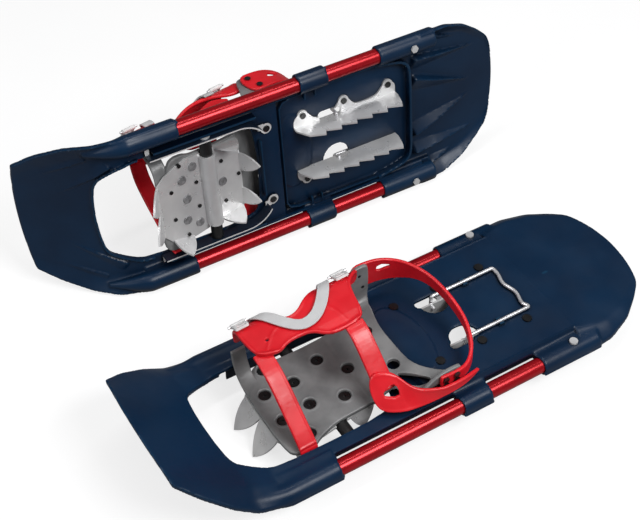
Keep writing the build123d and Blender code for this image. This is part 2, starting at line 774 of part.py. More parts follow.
with BuildPart() as heel_strap:
    with BuildSketch(Plane.XY.offset(5)):
        with BuildLine():
            Spline(
                (-84, -66.7),
                (-103, -66.7),
                (-121, -61.5),
                (-137, -50),
                (-147, -30),
                (-152, 0),
                (-149, 31),
                (-142, 50),
                (-133, 62),
                (-121, 70.8),
                (-112, 72.1),
                (-90, 72.1),
            )
        trace(line_width=strap_thickness)
    extrude(amount=60)
    add(strap_heights.part, mode=Mode.INTERSECT)
    with BuildSketch(Plane.XZ.offset(inner_tab)):
        with Locations((-92, 40)):
            RectangleRounded(20, 34, 4)
    extrude(amount=strap_thickness)
    with BuildSketch(Plane.XZ.offset(-outer_tab)):
        with Locations((-103, 23)):
            RectangleRounded(24, 18, 4)
    extrude(amount=-strap_thickness)
    with BuildSketch(Plane.XZ.offset(60)):
        with Locations(inner_rivets):
            Circle(rivet_shank + fixed_gap)
    extrude(amount=16, mode=Mode.SUBTRACT)
    with BuildSketch(Plane.XZ.offset(-60)):
        with Locations(outer_rivets):
            Circle(rivet_shank + fixed_gap)
    extrude(amount=-20, mode=Mode.SUBTRACT)

with BuildPart() as heel_strap_rivets:
    for rivets, wall_face, head_face, way in [
        (inner_rivets, -60.6, -inner_tab - strap_thickness, 1),
        (outer_rivets, 66.4, outer_tab + strap_thickness, -1),
    ]:
        with BuildSketch(Plane.XZ.offset(-wall_face)):
            with Locations(rivets):
                Circle(rivet_shank)
        extrude(amount=way * (abs(head_face - wall_face) + 0.9))
        with BuildSketch(Plane.XZ.offset(-head_face + way * 0.8)):
            with Locations(rivets):
                Circle(3.2)
        extrude(amount=way * 1.0)

with BuildPart() as pull_webbing:
    with BuildSketch(Plane.XY.offset(40)):
        with BuildLine():
            Spline(
                (24, -52),
                (21, -46),
                (14, -36),
                (6, -21),
                (-5, -14.5),
                (-19, -16.5),
                (-33, -28),
                (-44, -42),
                (-48, -50),
            )
        trace(line_width=11)
    extrude(amount=40)
    add(arch_band(strap_thickness + 0.4, 1.4, -90, 60), mode=Mode.INTERSECT)

# ---------------------------------------------------------------- the pair

frame_pieces = {
    "deck": deck.part,
    "outer_tube": tube.part,
    "inner_tube": mirror(tube.part, about=Plane.XZ),
    "tail_screws": tail_screws.part,
    "outer_side_rail": side_rail.part,
    "inner_side_rail": mirror(side_rail.part, about=Plane.XZ),
    "side_rail_rivets": side_rail_rivets.part,
    "pivot_rod": pivot_rod.part,
    "pivot_bush": pivot_bush.part,
    "outer_heel_blade": heel_blade.part,
    "inner_heel_blade": mirror(heel_blade.part, about=Plane.XZ),
    "heel_blade_rivets": heel_blade_rivets.part,
    "heel_lifter": heel_lifter.part,
    "lifter_clips": lifter_clips.part,
}
binding_pieces = {
    "toe_crampon": toe_crampon.part,
    "binding_base": binding_base.part,
    "crampon_studs": crampon_studs.part,
    "binding_screws": binding_screws.part,
    "toe_harness": toe_harness.part,
    "inner_strap": inner_strap.part,
    "front_strap": front_strap.part,
    "rear_strap": rear_strap.part,
    "outer_strap": outer_strap.part,
    "heel_strap": heel_strap.part,
    "heel_strap_rivets": heel_strap_rivets.part,
    "pull_webbing": pull_webbing.part,
    "front_buckle": front_buckle.part,
    "rear_buckle": Pos(buckle_places[1] - buckle_places[0], 0, 0) * front_buckle.part,
    "buckle_pins": buckle_pins.part,
}

# the left pivot's place, seen from the middle of the left foot platform
pitch = math.radians(rest_pitch["left"])
left_pivot = Vector(-plate_top * math.sin(pitch), 0, -plate_top * math.cos(pitch))

# the right shoe stands on its outer edge, leaning outwards, with its toe turned a little
yaw = math.radians(right_yaw)
lean = math.radians(right_lean)
forward = Vector(math.cos(yaw), math.sin(yaw), 0)
up = Vector(0, 0, 1)
lateral = up * math.cos(lean) + forward.cross(up) * math.sin(lean)
right_place = Plane(
    origin=left_pivot + right_origin, x_dir=forward, z_dir=forward.cross(lateral)
).location


def placed(part, side, pitched):
    """The piece where it stands in the pair's frame: pitched with the binding, mirrored for the right."""
    if pitched:
        part = Rot(0, rest_pitch[side], 0) * part
    if side == "left":
        return Pos(*left_pivot) * part
    return right_place * mirror(part, about=Plane.XZ)


for side in ("left", "right"):
    for pieces, pitched in [(frame_pieces, False), (binding_pieces, True)]:
        for name, part in pieces.items():
            piece = placed(part, side, pitched)
            piece.label = f"{side}_{name}"
            export_step(piece, f"parts/{piece.label}.step")
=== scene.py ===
import json
import math

import bpy
import numpy as np
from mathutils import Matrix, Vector


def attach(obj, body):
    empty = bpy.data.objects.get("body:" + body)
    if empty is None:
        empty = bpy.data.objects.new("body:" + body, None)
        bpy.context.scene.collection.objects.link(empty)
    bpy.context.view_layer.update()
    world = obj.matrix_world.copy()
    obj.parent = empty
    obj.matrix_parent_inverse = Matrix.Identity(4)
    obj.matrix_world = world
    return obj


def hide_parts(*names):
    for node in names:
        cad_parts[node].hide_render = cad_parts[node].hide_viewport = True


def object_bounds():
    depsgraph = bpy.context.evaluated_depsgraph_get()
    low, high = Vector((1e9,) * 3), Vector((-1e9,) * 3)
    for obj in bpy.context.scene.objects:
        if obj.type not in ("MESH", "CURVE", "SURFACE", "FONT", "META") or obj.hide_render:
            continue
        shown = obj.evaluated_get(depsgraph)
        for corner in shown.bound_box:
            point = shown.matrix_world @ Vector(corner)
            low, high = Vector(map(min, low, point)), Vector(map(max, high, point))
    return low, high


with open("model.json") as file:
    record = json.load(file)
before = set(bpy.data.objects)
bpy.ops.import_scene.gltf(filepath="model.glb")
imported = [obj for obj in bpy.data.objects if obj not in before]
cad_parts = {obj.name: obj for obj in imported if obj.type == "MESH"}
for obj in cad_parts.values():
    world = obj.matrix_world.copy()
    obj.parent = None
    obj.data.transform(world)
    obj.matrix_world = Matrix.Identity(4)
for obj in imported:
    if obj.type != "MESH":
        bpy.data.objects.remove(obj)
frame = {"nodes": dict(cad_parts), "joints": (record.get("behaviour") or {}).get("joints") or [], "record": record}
cad_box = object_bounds()

# Every piece is drawn in the left shoe's own frame, in millimetres: the binding's pivot axis is Y,
# +X runs to the toe, +Y to the outer side, +Z up. Each is then placed on both shoes.

SIDES = ("left", "right")
JOINTS = {joint["name"]: joint for joint in frame["joints"]}

# deck
DECK_TOP = 9.0
DECK_WALL = 3.5
PANEL_HALF = 75.0
TUBE_Y = 85.0
TUBE_RADIUS = 8.0
TUBE_ENDS = (-262.1, 75.1)
SLEEVE_RADIUS = 10.5
# rear and front end of each sleeve; the front one runs on as a nose
SLEEVES = [(28.8, 82.0), (-137.5, -105.5), (-267.0, -199.5)]
NOSE_START = 80.5
NOSE_LENGTH = 40.0
# x, half width, edge height, shoulder y, shoulder height, crown height
TOE = [
    (26, 94.5, 0.0, 77, 8.8, 9.2),
    (58, 94.5, 0.0, 77, 8.8, 9.4),
    (85, 94.5, 1.0, 75, 9.5, 11.5),
    (112, 93.0, 9.0, 71, 19.5, 23.0),
    (135, 89.0, 27.0, 66, 34.5, 38.5),
    (160, 78.0, 48.5, 55, 53.0, 56.0),
    (186, 60.0, 71.0, 40, 74.0, 75.5),
]
TAIL = [
    (-354, 28.0, 13.5, 17, 14.9, 15.4),
    (-344, 56.0, 12.0, 47, 13.8, 15.0),
    (-330, 69.0, 10.0, 58, 13.3, 14.6),
    (-310, 83.5, 6.5, 72, 12.8, 14.2),
    (-284, 93.0, 3.0, 79, 12.8, 14.1),
    (-268, 94.5, 0.8, 78, 13.5, 14.1),
    (-258, 94.5, 0.0, 75, 13.8, 14.1),
    (-249, 94.5, 0.0, 73, 13.8, 14.1),
]
# the tray behind HEEL_FRONT stands HEEL_RAISE above the rest of the panel
HEEL_RAISE = 5.0
HEEL_FRONT = -82.0
# heel lifter and blades
LIFTER_PIVOT_X = -152.0
LIFTER_REAR = -227.0
LIFTER_Y = 30.4
LIFTER_FOOT = 5.0
LIFTER_TOP = 17.0
WIRE_RADIUS = 1.75
BLADE_Y = 27.0
LIFTER_WINDOW = 15.5
SCREW_BORE = 6.1
BLADE_LUGS = [(-114, 40), (-163, 40), (-217, 40)]
EYELET = (-69, 45)
TAIL_SCREW_X = -239

# binding, drawn level and then pitched down at the toe by each shoe's rest angle in degrees
REST_PITCH = {"left": 4.0, "right": 9.4}
SHEET_TOP = 4.5
PLATE_TOP = 9.5
SCREWS = [(45, 17), (45, -17), (15, 15), (15, -15), (-17, 25), (-17, -25), (-36, 0), (32, 43), (32, -43)]
STUDS = [(17, 35), (17, -35), (31, 25), (31, -25), (28, 0), (-16, 0)]
ARM_BOTTOM = 11.5
BUSH_GROOVE = 6.35
INNER_RIVETS = [(-90, 48), (-93, 31)]
OUTER_RIVETS = [(-97, 27.5), (-109, 27.5), (-97, 20), (-109, 20)]

# harness arch: the inner wall, the round shoulder and the top, as the middle of the sheet
ARCH_Y = -42.2
ARCH_Z = 56.0
ARCH_RADIUS = 16.5
STRAP = 3.0


# ---------------------------------------------------------------- signed fields


def smooth_outline(points, rounds=2, closed=True):
    """The points of a polygon with its corners cut, more finely at each round."""
    points = np.array(points, float)
    for _ in range(rounds):
        after = np.roll(points, -1, axis=0)
        pairs = np.stack([0.75 * points + 0.25 * after, 0.25 * points + 0.75 * after], axis=1)
        if closed:
            points = pairs.reshape(-1, 2)
        else:
            points = np.vstack([points[:1], pairs[:-1].reshape(-1, 2), points[-1:]])
    return points


def polygon(points, a, b):
    """Signed distance from (a, b) to a closed polygon, negative inside."""
    nearest = np.inf
    inside = False
    for (a0, b0), (a1, b1) in zip(points, np.roll(points, -1, axis=0)):
        along_a, along_b = a1 - a0, b1 - b0
        from_a, from_b = a - a0, b - b0
        length = max(along_a**2 + along_b**2, 1e-12)
        share = np.clip((from_a * along_a + from_b * along_b) / length, 0, 1)
        gap = (from_a - share * along_a) ** 2 + (from_b - share * along_b) ** 2
        nearest = np.minimum(nearest, gap)
        if b0 != b1:
            crosses = ((b0 <= b) != (b1 <= b)) & (a < a0 + from_b * along_a / along_b)
            inside = inside ^ crosses
    return np.sqrt(nearest) * np.where(inside, -1.0, 1.0)


def path_place(points, a, b):
    """Length along an open path to the point nearest (a, b), and the signed distance from the path."""
    best = np.inf
    place = 0.0
    side = 0.0
    start = 0.0
    for (a0, b0), (a1, b1) in zip(points[:-1], points[1:]):
        along_a, along_b = a1 - a0, b1 - b0
        from_a, from_b = a - a0, b - b0
        length = math.hypot(along_a, along_b)
        share = np.clip((from_a * along_a + from_b * along_b) / length**2, 0, 1)
        gap = np.hypot(from_a - share * along_a, from_b - share * along_b)
        closer = gap < best
        turn = np.sign(along_a * from_b - along_b * from_a)
        best = np.where(closer, gap, best)
        place = np.where(closer, start + share * length, place)
        side = np.where(closer, turn, side)
        start += length
    return place, best * np.where(side == 0, 1.0, side)


def disc(points, radius, a, b):
    """Signed distance to the nearest of several discs."""
    nearest = np.inf
    for a0, b0 in points:
        nearest = np.minimum(nearest, np.hypot(a - a0, b - b0) - radius)
    return nearest


def join(first, second, soft=0.0):
    """Union of two fields, with a fillet of about that size."""
    if soft == 0:
        return np.minimum(first, second)
    share = np.clip(0.5 + 0.5 * (second - first) / soft, 0, 1)
    return second + (first - second) * share - soft * share * (1 - share)


def common(first, second, soft=0.0):
    """Intersection of two fields, with a round of about that size."""
    return -join(-first, -second, soft)


def cut(body, tool, soft=0.0):
    """The body less the tool, with a round of about that size."""
    return common(body, -tool, soft)


def block(x, y, z, low, high):
    """Signed distance to a box, near enough for a thin sheet."""
    gaps = [np.maximum(lo - c, c - hi) for c, lo, hi in zip((x, y, z), low, high)]
    return np.maximum(np.maximum(gaps[0], gaps[1]), gaps[2])


def bead(distance, width):
    """A smooth ridge, 1 at no distance and falling away over the width."""
    return np.exp(-((distance / width) ** 2))


# ---------------------------------------------------------------- meshes


def surface_net(field, low, high, step):
    """A closed quad mesh round the field's negative region."""
    axes = [np.arange(lo - 2 * step, hi + 3 * step, step) for lo, hi in zip(low, high)]
    shape = tuple(len(axis) for axis in axes)
    grid = np.meshgrid(*axes, indexing="ij", sparse=True)
    value = np.broadcast_to(field(*grid), shape).astype(np.float32)
    inside = value < 0
    count = np.zeros([n - 1 for n in shape], np.uint8)
    for i in (0, 1):
        for j in (0, 1):
            for k in (0, 1):
                count += inside[i:shape[0] - 1 + i, j:shape[1] - 1 + j, k:shape[2] - 1 + k]
    cell = np.argwhere((count > 0) & (count < 8))
    index = np.full(count.shape, -1, np.int64)
    index[tuple(cell.T)] = np.arange(len(cell))
    total = np.zeros((len(cell), 3))
    hits = np.zeros(len(cell))
    for axis in range(3):
        unit = np.eye(3, dtype=int)[axis]
        others = [n for n in range(3) if n != axis]
        for corner in ((0, 0), (0, 1), (1, 0), (1, 1)):
            offset = np.zeros(3, int)
            offset[others] = corner
            first = value[tuple((cell + offset).T)]
            second = value[tuple((cell + offset + unit).T)]
            crosses = (first < 0) != (second < 0)
            share = np.where(crosses, first / np.where(crosses, first - second, 1), 0)
            place = offset + share[:, None] * unit
            total[crosses] += place[crosses]
            hits[crosses] += 1
    points = (cell + total / hits[:, None]) * step + np.array([axis[0] for axis in axes])
    faces = []
    for axis in range(3):
        unit = np.eye(3, dtype=int)[axis]
        across, over = np.eye(3, dtype=int)[(axis + 1) % 3], np.eye(3, dtype=int)[(axis + 2) % 3]
        ends = [slice(1, n - 1) for n in shape]
        starts = list(ends)
        starts[axis] = slice(0, shape[axis] - 1)
        after = list(ends)
        after[axis] = slice(1, shape[axis])
        first, second = inside[tuple(starts)], inside[tuple(after)]
        edge = np.argwhere(first != second)
        outward = first[tuple(edge.T)]
        edge = edge + np.array([0 if n == axis else 1 for n in range(3)])
        quad = np.stack(
            [index[tuple((edge - back).T)] for back in (across + over, over, np.zeros(3, int), across)],
            axis=1,
        )
        faces.append(np.where(outward[:, None], quad, quad[:, ::-1]))
    return settle(field, points, step), np.vstack(faces)


def settle(field, points, step):
    """Moves the points onto the field's zero, each by less than a cell."""
    reach = 0.2 * step
    for _ in range(3):
        value = field(*points.T)
        slope = np.stack(
            [
                (field(*(points + reach * unit).T) - field(*(points - reach * unit).T)) / (2 * reach)
                for unit in np.eye(3)
            ],
            axis=1,
        )
        steep = np.maximum((slope**2).sum(axis=1), 0.2)
        move = slope * (value / steep)[:, None]
        far = np.linalg.norm(move, axis=1)
        move *= (np.minimum(far, 0.4 * step) / np.maximum(far, 1e-9))[:, None]
        points = points - move
    return points


def on_shoe(points, side, pitched):
    """Points from the shoe's own frame, in millimetres, to the row frame, in metres."""
    pivot = JOINTS[f"{side}_binding_pitch"]
    points = np.array(points, float)
    if pitched:
        angle = math.radians(REST_PITCH[side])
        x = points[:, 0] * math.cos(angle) + points[:, 2] * math.sin(angle)
        z = points[:, 2] * math.cos(angle) - points[:, 0] * math.sin(angle)
        points = np.stack([x, points[:, 1], z], axis=1)
    axes = np.eye(3)
    if side == "right":
        forward = np.array(JOINTS["right_shoe_lay_flat"]["axis"])
        lateral = np.array(pivot["axis"])
        axes = np.stack([forward, -lateral, np.cross(forward, lateral)])
    return np.array(pivot["pos_m"]) + points @ axes / 1000


def add_piece(name, side, points, faces, material, body, nodes):
    """One mesh piece on one shoe, standing for its CAD nodes."""
    mesh = bpy.data.meshes.new(f"{side}_{name}_look")
    if side == "right":
        faces = [face[::-1] for face in faces]
    mesh.from_pydata(on_shoe(points, side, body == "binding").tolist(), [], faces)
    mesh.validate()
    mesh.update()
    mesh.shade_smooth()
    mesh.set_sharp_from_angle(angle=math.radians(50))
    mesh.materials.append(material)
    piece = bpy.data.objects.new(f"{side}_{name}_look", mesh)
    bpy.context.scene.collection.objects.link(piece)
    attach(piece, f"{side}_{body}")
    if nodes:
        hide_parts(*[f"{side}_{node}" for node in nodes])
    return piece


def add_field(name, field, low, high, step, material, body, nodes):
    """A field's surface as a piece on both shoes."""
    points, faces = surface_net(field, low, high, step)
    for side in SIDES:
        add_piece(name, side, points, faces.tolist(), material, body, nodes)


def swept_tube(path, radius, sides=40):
    """A round bar along a path of points, closed with flat ends; returns its points and faces."""
    path = np.array(path, float)
    along = np.gradient(path, axis=0)
    along /= np.linalg.norm(along, axis=1)[:, None]
    across = np.cross(along[0], (0.31, 0.47, 0.83))
    points = []
    for place, way in zip(path, along):
        across = across - way * (across @ way)
        across /= np.linalg.norm(across)
        over = np.cross(way, across)
        for step in range(sides):
            angle = 2 * math.pi * step / sides
            points.append(place + radius * (math.cos(angle) * across + math.sin(angle) * over))
    faces = [list(range(sides - 1, -1, -1))]
    for row in range(len(path) - 1):
        first = row * sides
        for step in range(sides):
            after = (step + 1) % sides
            faces.append([first + step, first + after, first + sides + after, first + sides + step])
    faces.append(list(range((len(path) - 1) * sides, len(path) * sides)))
    return np.array(points), faces


def rounded_path(corners, radius, steps=8):
    """A path through corners, each rounded by an arc-like curve of about that radius."""
    corners = [np.array(corner, float) for corner in corners]
    path = [corners[0]]
    for before, corner, after in zip(corners, corners[1:], corners[2:]):
        start = corner + radius * (before - corner) / np.linalg.norm(before - corner)
        end = corner + radius * (after - corner) / np.linalg.norm(after - corner)
        for step in range(steps + 1):
            t = step / steps
            path.append((1 - t) ** 2 * start + 2 * t * (1 - t) * corner + t**2 * end)
    return path + [corners[-1]]


# ---------------------------------------------------------------- deck


def section_values(table, x):
    """The section table's columns at x, smoothed along the shoe."""
    rows = np.array(table, float)
    fine = np.arange(rows[0, 0] - 30, rows[-1, 0] + 30, 1.0)
    weight = np.exp(-((np.arange(-18, 19) / 3.5) ** 2))
    weight /= weight.sum()
    for column in range(1, rows.shape[1]):
        slope_in = (rows[1, column] - rows[0, column]) / (rows[1, 0] - rows[0, 0])
        slope_out = (rows[-1, column] - rows[-2, column]) / (rows[-1, 0] - rows[-2, 0])
        raw = np.interp(fine, rows[:, 0], rows[:, column])
        raw += np.minimum(fine - rows[0, 0], 0) * slope_in
        raw += np.maximum(fine - rows[-1, 0], 0) * slope_out
        soft = np.convolve(np.pad(raw, 18, mode="edge"), weight, mode="valid")
        yield np.interp(x, fine, soft)


def shell_top(table, x, y):
    """Height of the shell's top face: a low crown, then a crease and a flank that falls to the edge."""
    half, edge_z, shoulder, shoulder_z, crown_z = section_values(table, x)
    across = np.abs(y)
    crown = crown_z - (crown_z - shoulder_z) * np.minimum(across / shoulder, 1) ** 2
    out = np.clip((across - shoulder) / (half - shoulder), 0, 1.1)
    return crown - (shoulder_z - edge_z) * out**1.5


def shell(table, x, y, z, end):
    """The toe's or tail's shell wall, a little thicker at its rim, trimmed to its outline."""
    half = next(section_values(table, x))
    height = shell_top(table, x, y)
    slope_x = shell_top(table, x + 1, y) - shell_top(table, x - 1, y)
    slope_y = shell_top(table, x, y + 1) - shell_top(table, x, y - 1)
    above = (z - height) / np.sqrt(1 + (slope_x**2 + slope_y**2) / 4)
    rim = np.clip(np.abs(y) / half - 0.8, 0, 0.2)
    wall = common(above, -above - DECK_WALL - 6 * rim, 1.2)
    taper = (next(section_values(table, x + 1)) - next(section_values(table, x - 1))) / 2
    edge = (np.abs(y) - half) / np.sqrt(1 + taper**2)
    return common(common(wall, edge, 1.2), end, 1.2)


def opening_outline():
    """The toe opening, seen from above."""
    side = [(-57, 46), (-43, 61.5), (74, 61), (90, 56), (101, 51), (113, 44), (116, 25), (117, 8)]
    return smooth_outline(side + [(x, -y) for x, y in reversed(side)], 2)


def underside_rib(x, y, z):
    """Raised borders, skirts and long flutes under the deck."""
    across = np.abs(y)
    # border round the rear of the panel, then the lower one round the heel tray
    border = [(-200, 71), (-214, 69), (-232, 65), (-240, 58), (-242, 44), (-242, -4)]
    _, gap = path_place(smooth_outline(border, 2, closed=False), x, across)
    rib = common(np.abs(gap) - 1.6, np.maximum(2.0 - z, z - 12), 1.0)
    _, gap = path_place([(-86, -4), (-86, 60), (-90, 66), (-100, 69), (-202, 71)], x, across)
    rib = join(rib, common(np.abs(gap) - 1.1, np.maximum(4.0 - z, z - 9), 0.8))
    # skirts beside the opening and the tubes, and the lip behind the opening
    rib = join(rib, block(x, across, z, (-56, 65.95, -5), (56, 68.45, 6.5)))
    rib = join(rib, block(x, across, z, (-255, 72.6, 0.5), (40, 75, 8)))
    rib = join(rib, block(x, across, z, (-61.2, -1, -1), (-58.8, 35, 6.5)))
    # flutes that tie the panel to the middle sleeve
    for low, high in ((-129, -126.5), (-116.5, -114)):
        rib = join(rib, block(x, across, z, (low, 62, 2.5), (high, 77, 7)))
    return rib


def strakes(x, y):
    """Height of the long wedge-shaped strakes under the tail and toe, each with one steep flank."""
    across = np.abs(y)
    height = 0.0
    # each strake's start and end, in x and distance from the middle, its width and its height
    for start, end, width, tall in [
        ((-250, 60), (-330, 52), 14.0, 7.0),
        ((-250, 36), (-326, 8), 16.0, 7.0),
        ((-266, 84), (-304, 70), 10.0, 4.5),
        ((98, 60), (156, 24), 11.0, 3.5),
        ((118, 72), (168, 50), 9.0, 3.0),
    ]:
        run = np.array(end, float) - start
        length = np.hypot(*run)
        run /= length
        along = ((x - start[0]) * run[0] + (across - start[1]) * run[1]) / length
        aside = (x - start[0]) * -run[1] + (across - start[1]) * run[0]
        fade = np.clip(1 - along, 0, 1) * np.clip(along * 14 + 0.6, 0, 1)
        ramp = np.clip(1 - np.abs(aside) / (width * np.clip(1.05 - along, 0.05, 1)), 0, 1)
        profile = np.where(aside > 0, ramp, np.clip(ramp * 4 - 3, 0, 1))
        height = np.maximum(height, tall * np.minimum(1.5 * fade, 1) * profile)
    return height


def heel_lift(x, across):
    """How far the tray over the heel blades stands above the rest of the panel."""
    ramp = np.minimum((HEEL_FRONT - x) / 4.0, (PANEL_HALF - across) / 4.0)
    share = np.clip(ramp, 0, 1)
    return HEEL_RAISE * share * share * (3 - 2 * share)


def deck_field(x, y, z):
    """Toe shell, flat panel with its heel tray, tail shell, strakes, sleeves and all openings."""
    across = np.abs(y)
    toe_end = x - (182 - 5 * (y / 80) ** 2)
    toe = shell(TOE, x, y, z, np.maximum(26 - x, toe_end))
    tail_end = -354 - x + 9 * (y / 55) ** 2
    tail = shell(TAIL, x, y, z, np.maximum(x + 249, tail_end))
    lift = heel_lift(x, across)
    dish = np.hypot((x + 100) / 22, y / 44)
    lift = lift - 0.8 * np.clip((1.05 - dish) * 2.5, 0, 1)
    middle = (z - DECK_TOP + DECK_WALL / 2 - lift) * np.where((lift > 0.05) & (lift < 4.95), 0.62, 1.0)
    panel = common(np.abs(middle) - DECK_WALL / 2, block(x, across, z, (-251, -1, -9), (36, 75, 30)), 0.2)
    body = join(join(toe, panel, 0.3), tail, 0.3)
    under = np.where(x > 0, shell_top(TOE, x, y), shell_top(TAIL, x, y)) - DECK_WALL
    rise = strakes(x, y)
    strake = np.maximum((under - rise - z) * 0.7, (z - under - 0.8) * 0.7)
    body = np.minimum(body, np.maximum(strake, 0.4 - rise))
    radial = np.hypot(across - TUBE_Y, z)
    # the front sleeve tapers into the toe
    run = np.clip((x - NOSE_START) / NOSE_LENGTH, 0, 1)
    nose = np.hypot(across - TUBE_Y + 3 * run, z - 14 * run**1.6) - SLEEVE_RADIUS * (1 - 0.8 * run**1.3)
    sleeves = np.maximum(nose * 0.9, np.maximum(70 - x, x - NOSE_START - NOSE_LENGTH))
    for rear, front in SLEEVES:
        sleeve = common(radial - SLEEVE_RADIUS, np.maximum(rear - x, x - front), 1.2)
        web = block(x, across, z, (rear, 71, 4.5), (front, 85, 8.6))
        sleeves = np.minimum(sleeves, join(sleeve, web, 2.0))
    body = join(body, sleeves, 3.0)
    body = join(body, underside_rib(x, y, z), 1.0)
    mouth = polygon(opening_outline(), x, y)
    rim = common(np.abs(mouth - 1.4) - 1.4, np.maximum(under - 3.5 - z, z - under - 2), 0.8)
    body = join(body, common(rim, 70 - x), 0.8)
    body = cut(body, mouth, 1.0)
    bore = np.maximum(radial - 8.1, np.maximum(TUBE_ENDS[0] - x, x - TUBE_ENDS[1]))
    body = cut(body, bore)
    window = np.hypot(x - LIFTER_PIVOT_X, across - BLADE_Y) - LIFTER_WINDOW
    window = np.maximum(window, across - BLADE_Y - 4)
    slot = np.hypot(x + 146 - np.clip(x + 146, -8.5, 8.5), across - 30.4) - 4.5
    body = cut(body, join(window, slot), 0.8)
    holes = disc(BLADE_LUGS + [EYELET, (TAIL_SCREW_X, TUBE_Y)], 2.1, x, across)
    return cut(body, holes)


# ---------------------------------------------------------------- binding base


def base_field(x, y, z):
    """The binding's plate with its screw holes, rear saddle, two arms and inner wing."""
    outline = smooth_outline(
        [
            (60, -20), (60, 46), (53, 57), (34, 57), (26, 52), (9, 47), (0, 46), (-12, 46), (-30, 46),
            (-44, 46), (-44, -46), (-30, -46), (-12, -46), (6, -47), (18, -48), (25, -52), (39, -52),
            (44, -44), (47, -33), (55, -28),
        ],
        2,
    )
    plan = polygon(outline, x, y)
    plate = common(plan, np.maximum(SHEET_TOP - z, z - PLATE_TOP), 1.4)
    # raised rings round the screw holes and the two saddle holes
    rings = disc(SCREWS, 0.0, x, y)
    body = join(plate, np.hypot(rings - SCREW_BORE - 1.6, z - PLATE_TOP + 0.3) - 0.9, 0.5)
    # ramp up to the rear saddle, which clears the deck
    rise = 6.0 * np.clip((-38 - x) / 19, 0, 1)
    saddle = common(np.abs(y) - 46, np.maximum(x + 34, -86 - x), 2.0)
    lift = np.maximum(SHEET_TOP + 0.8 + np.minimum(rise * 1.1, 6.2) - z, z - PLATE_TOP - rise)
    body = join(body, common(saddle, lift * 0.95, 1.2), 1.0)
    # arms: a band seen along the shoe, trimmed by each side's outline
    bend = 14.0
    ring = [(-62.6, 70), (-62.6, ARM_BOTTOM + 2 + bend)]
    for step in range(1, 10):
        angle = math.radians(10 * step)
        ring.append((-62.6 + bend * (1 - math.cos(angle)), ARM_BOTTOM + 2 + bend * (1 - math.sin(angle))))
    for step in range(9):
        angle = math.radians(90 - 10 * step)
        ring.append((58 + 10 * math.cos(angle), ARM_BOTTOM + 2 + 10 * (1 - math.sin(angle))))
    ring += [(68, ARM_BOTTOM + 12), (68, 50)]
    _, gap = path_place(ring, y, z)
    band = np.abs(gap) - 2.0
    tall = smooth_outline(
        [(-44, 8), (-58, 14), (-72, 36), (-80, 56), (-84, 60), (-97, 60), (-101, 56), (-98, 8)], 2
    )
    low = smooth_outline([(-44, 8), (-62, 12), (-76, 22), (-90, 32), (-114, 32), (-118, 28), (-116, 8)], 2)
    side = np.where(y < 0, polygon(tall, x, z), polygon(low, x, z))
    arms = common(band, side, 1.3)
    heel = [(-97, -58), (-88, -32), (-83, 0), (-87, 32), (-100, 50), (-117, 62), (-150, 62), (-150, -58)]
    arms = common(arms, -polygon(smooth_outline(heel, 2), x, y), 1.2)
    body = join(body, arms, 1.5)
    window = [(-68, 34), (-77, 40), (-91, 54), (-92, 59), (-82, 60), (-73, 55), (-68, 45)]
    body = cut(body, polygon(smooth_outline(window, 2), x, y), 1.0)
    # the wing: a curved band from the plate's front corner up the inner side
    wing = [(-20, 7), (-30, 7), (-38, 8.6), (-45, 12.2), (-50, 18), (-53.2, 25), (-55, 33), (-55.4, 42)]
    place, gap = path_place(smooth_outline(wing, 2, closed=False), y, z)
    width = np.abs(x - 51.5 + 0.05 * place) - 7.5
    band = common(np.abs(gap) - 1.6, width, 1.0)
    body = join(body, common(band, z - 41, 0.8), 1.5)
    body = cut(body, np.hypot(x, z) - BUSH_GROOVE)
    body = cut(body, np.maximum(disc(SCREWS, SCREW_BORE, x, y), 5.5 - z), 0.5)
    body = cut(body, disc(SCREWS, 2.1, x, y))
    body = cut(body, np.maximum(disc(STUDS, 3.05, x, y), z - SHEET_TOP - 2.05))
    body = cut(body, disc([(-72, 24), (-72, -24)], SCREW_BORE, x, y), 0.8)
    rivets = np.where(y < 0, disc(INNER_RIVETS, 1.7, x, z), disc(OUTER_RIVETS, 1.7, x, z))
    return cut(body, rivets + 100 * (np.abs(y) < 50))


# ---------------------------------------------------------------- harness and straps


def arch_path(lift):
    """The arch seen along the shoe, raised by lift: wall, round shoulder, top and outer slope."""
    radius = ARCH_RADIUS + lift
    path = [(ARCH_Y - radius, 6.0), (ARCH_Y - radius, ARCH_Z)]
    for step in range(1, 13):
        angle = math.radians(7.5 * step)
        path.append((ARCH_Y - radius * math.cos(angle), ARCH_Z + radius * math.sin(angle)))
    path += [(-24, ARCH_Z + radius), (-12, ARCH_Z + radius - 0.4), (0, ARCH_Z + radius - 2.4)]
    return path + [(10, ARCH_Z + radius - 6.5), (20, ARCH_Z + radius - 13)]


def arch_length(y, lift=0.0):
    """Length along the raised arch to where it passes y on the shoulder or the top."""
    place, _ = path_place(arch_path(lift), np.float64(y), np.float64(ARCH_Z + ARCH_RADIUS + lift))
    return float(place)


